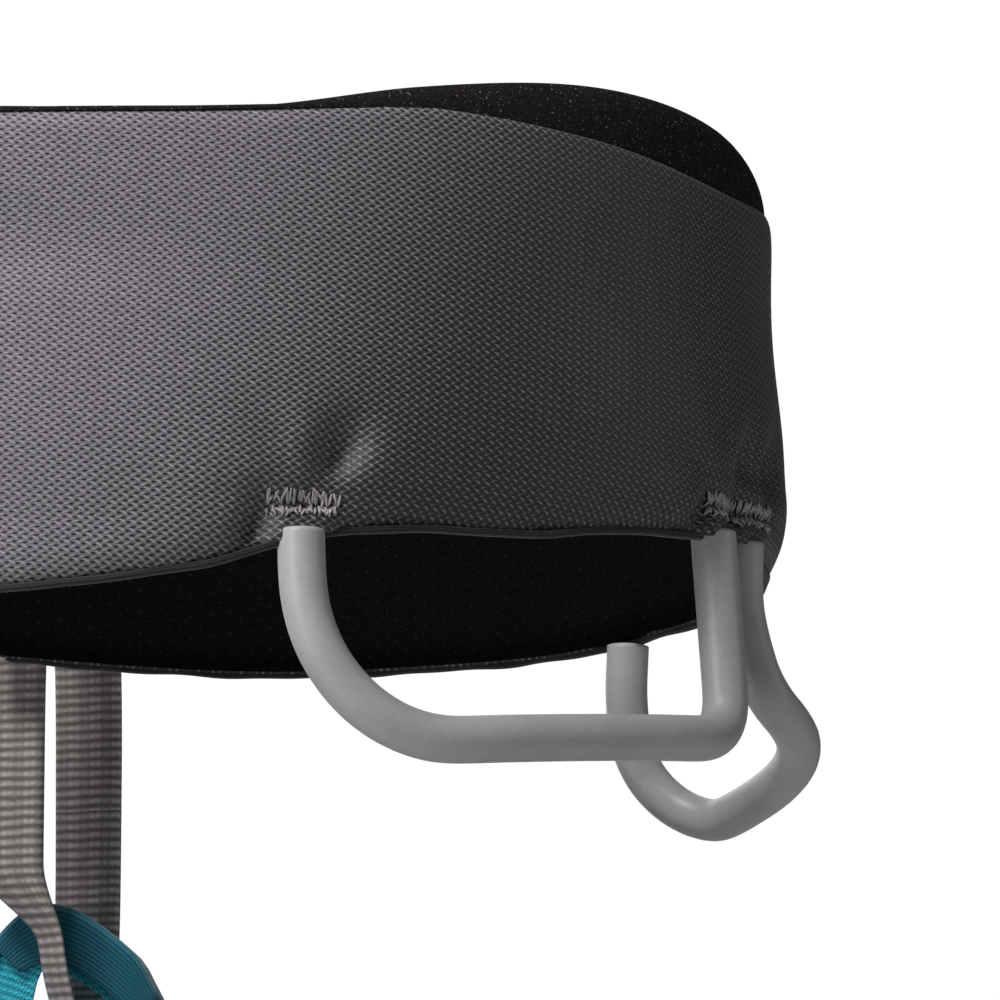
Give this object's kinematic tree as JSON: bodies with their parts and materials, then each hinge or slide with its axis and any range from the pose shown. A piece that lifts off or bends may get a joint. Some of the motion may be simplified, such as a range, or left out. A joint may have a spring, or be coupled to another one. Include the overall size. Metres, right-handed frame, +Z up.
{
  "type": "climbing harness",
  "caption": "Sit harness: padded waist belt with buckle, four gear loops, belay loop, leg loops and elastic risers",
  "frame": {"origin": "centre of the waist opening at the belt's mid height", "axes": "+Z up towards the wearer's head, -Y the way the wearer faces, +X the wearer's left"},
  "size_m": [0.3502, 0.2736, 0.3361],
  "materials": {
    "shell_fabric": "coarse woven polyester, matt",
    "liner_mesh": "fine perforated knit, matt",
    "foam": "closed-cell foam, matt",
    "webbing_grey": "ribbed webbing, matt",
    "gear_loop_plastic": "extruded sleeve, matt",
    "teal_fabric": "woven, matt",
    "teal_tape": "ribbed tape, matt",
    "aluminium": "satin",
    "black_plastic": "moulded, matt",
    "elastic": "ribbed elastic, matt"
  },
  "bodies": {
    "belt": {"belt_shell": "shell_fabric", "belt_liner": "liner_mesh", "belt_foam_core": "foam", "belt_webbing_upper": "webbing_grey", "belt_webbing_lower": "webbing_grey", "gear_tape_left": "webbing_grey", "gear_tape_right": "webbing_grey", "waist_strap_left": "webbing_grey", "waist_strap_right": "webbing_grey", "strap_tail": "webbing_grey", "buckle_frame": "aluminium", "upper_tie_in_band": "webbing_grey", "leg_bridge": "teal_fabric", "bridge_wear_sleeve": "teal_tape", "riser_tab": "webbing_grey", "drop_seat_buckle": "black_plastic", "riser_center": "elastic", "riser_yoke": "black_plastic", "riser_branch_left": "elastic", "riser_branch_right": "elastic"},
    "rear_right_gear_loop": {"gear_loop_rear_right": "gear_loop_plastic", "gear_loop_core_rear_right": "webbing_grey"},
    "rear_left_gear_loop": {"gear_loop_rear_left": "gear_loop_plastic", "gear_loop_core_rear_left": "webbing_grey"},
    "front_right_gear_loop": {"gear_loop_front_right": "gear_loop_plastic", "gear_loop_core_front_right": "webbing_grey"},
    "front_left_gear_loop": {"gear_loop_front_left": "gear_loop_plastic", "gear_loop_core_front_left": "webbing_grey"},
    "belay_loop": {"belay_loop": "webbing_grey"},
    "tilt_frame": {"buckle_tilt_frame": "aluminium"},
    "keeper": {"tail_keeper": "elastic"},
    "leg_loop_left": {"leg_shell_left": "shell_fabric", "leg_foam_left": "foam", "leg_liner_left": "liner_mesh", "leg_strap_left": "webbing_grey"},
    "leg_slider_left": {"leg_slider_left": "aluminium"},
    "leg_loop_right": {"leg_shell_right": "shell_fabric", "leg_foam_right": "foam", "leg_liner_right": "liner_mesh", "leg_strap_right": "webbing_grey"},
    "leg_slider_right": {"leg_slider_right": "aluminium"},
    "adjuster": {"riser_adjuster": "black_plastic"}
  },
  "joints": [
    {"name": "rear_right_gear_loop_swing", "type": "hinge", "parent": "belt", "child": "rear_right_gear_loop", "pos_m": [-0.10819, 0.06704, -0.03987], "axis": [0.8246, 0.5603, -0.0782], "range_deg": [-2, 24], "stiffness_Nm_per_rad": 0.2},
    {"name": "rear_left_gear_loop_swing", "type": "hinge", "parent": "belt", "child": "rear_left_gear_loop", "pos_m": [0.10819, 0.06704, -0.03987], "axis": [0.8246, -0.5603, 0.0782], "range_deg": [-2, 24], "stiffness_Nm_per_rad": 0.2},
    {"name": "front_right_gear_loop_swing", "type": "hinge", "parent": "belt", "child": "front_right_gear_loop", "pos_m": [-0.14381, -0.01648, -0.04063], "axis": [-0.2594, 0.9604, 0.1018], "range_deg": [-2, 24], "stiffness_Nm_per_rad": 0.2},
    {"name": "front_left_gear_loop_swing", "type": "hinge", "parent": "belt", "child": "front_left_gear_loop", "pos_m": [0.14381, -0.01648, -0.04063], "axis": [-0.2594, -0.9604, -0.1018], "range_deg": [-2, 24], "stiffness_Nm_per_rad": 0.2},
    {"name": "belay_loop_turn", "type": "hinge", "parent": "belt", "child": "belay_loop", "pos_m": [0.00725, -0.1375, -0.0695], "axis": [0, 0, 1], "range_deg": [-2, 5]},
    {"name": "buckle_tilt", "type": "hinge", "parent": "belt", "child": "tilt_frame", "pos_m": [0.05013, -0.10525, 0], "axis": [0, 0, -1], "range_deg": [0, 30]},
    {"name": "tail_keeper_slide", "type": "slide", "parent": "belt", "child": "keeper", "axis": [0.8278, 0.5611, 0], "range_m": [-0.004, 0.004]},
    {"name": "leg_loop_left_swing", "type": "hinge", "parent": "belt", "child": "leg_loop_left", "pos_m": [0.036, -0.1, -0.134], "axis": [1, 0, 0], "range_deg": [-10, 15], "stiffness_Nm_per_rad": 6, "deforming": ["riser_branch_left"]},
    {"name": "leg_slider_left_slide", "type": "slide", "parent": "leg_loop_left", "child": "leg_slider_left", "axis": [0.7388, 0.4602, -0.4924], "range_m": [-0.003, 0.003]},
    {"name": "leg_loop_right_swing", "type": "hinge", "parent": "belt", "child": "leg_loop_right", "pos_m": [-0.036, -0.1, -0.134], "axis": [1, 0, 0], "range_deg": [-10, 15], "stiffness_Nm_per_rad": 6, "deforming": ["riser_branch_right"]},
    {"name": "leg_slider_right_slide", "type": "slide", "parent": "leg_loop_right", "child": "leg_slider_right", "axis": [-0.7388, 0.4602, -0.4924], "range_m": [-0.003, 0.003]},
    {"name": "riser_adjuster_slide", "type": "slide", "parent": "belt", "child": "adjuster", "axis": [0, -0.0952, -0.9955], "range_m": [-0.02, 0.02]}
  ]
}
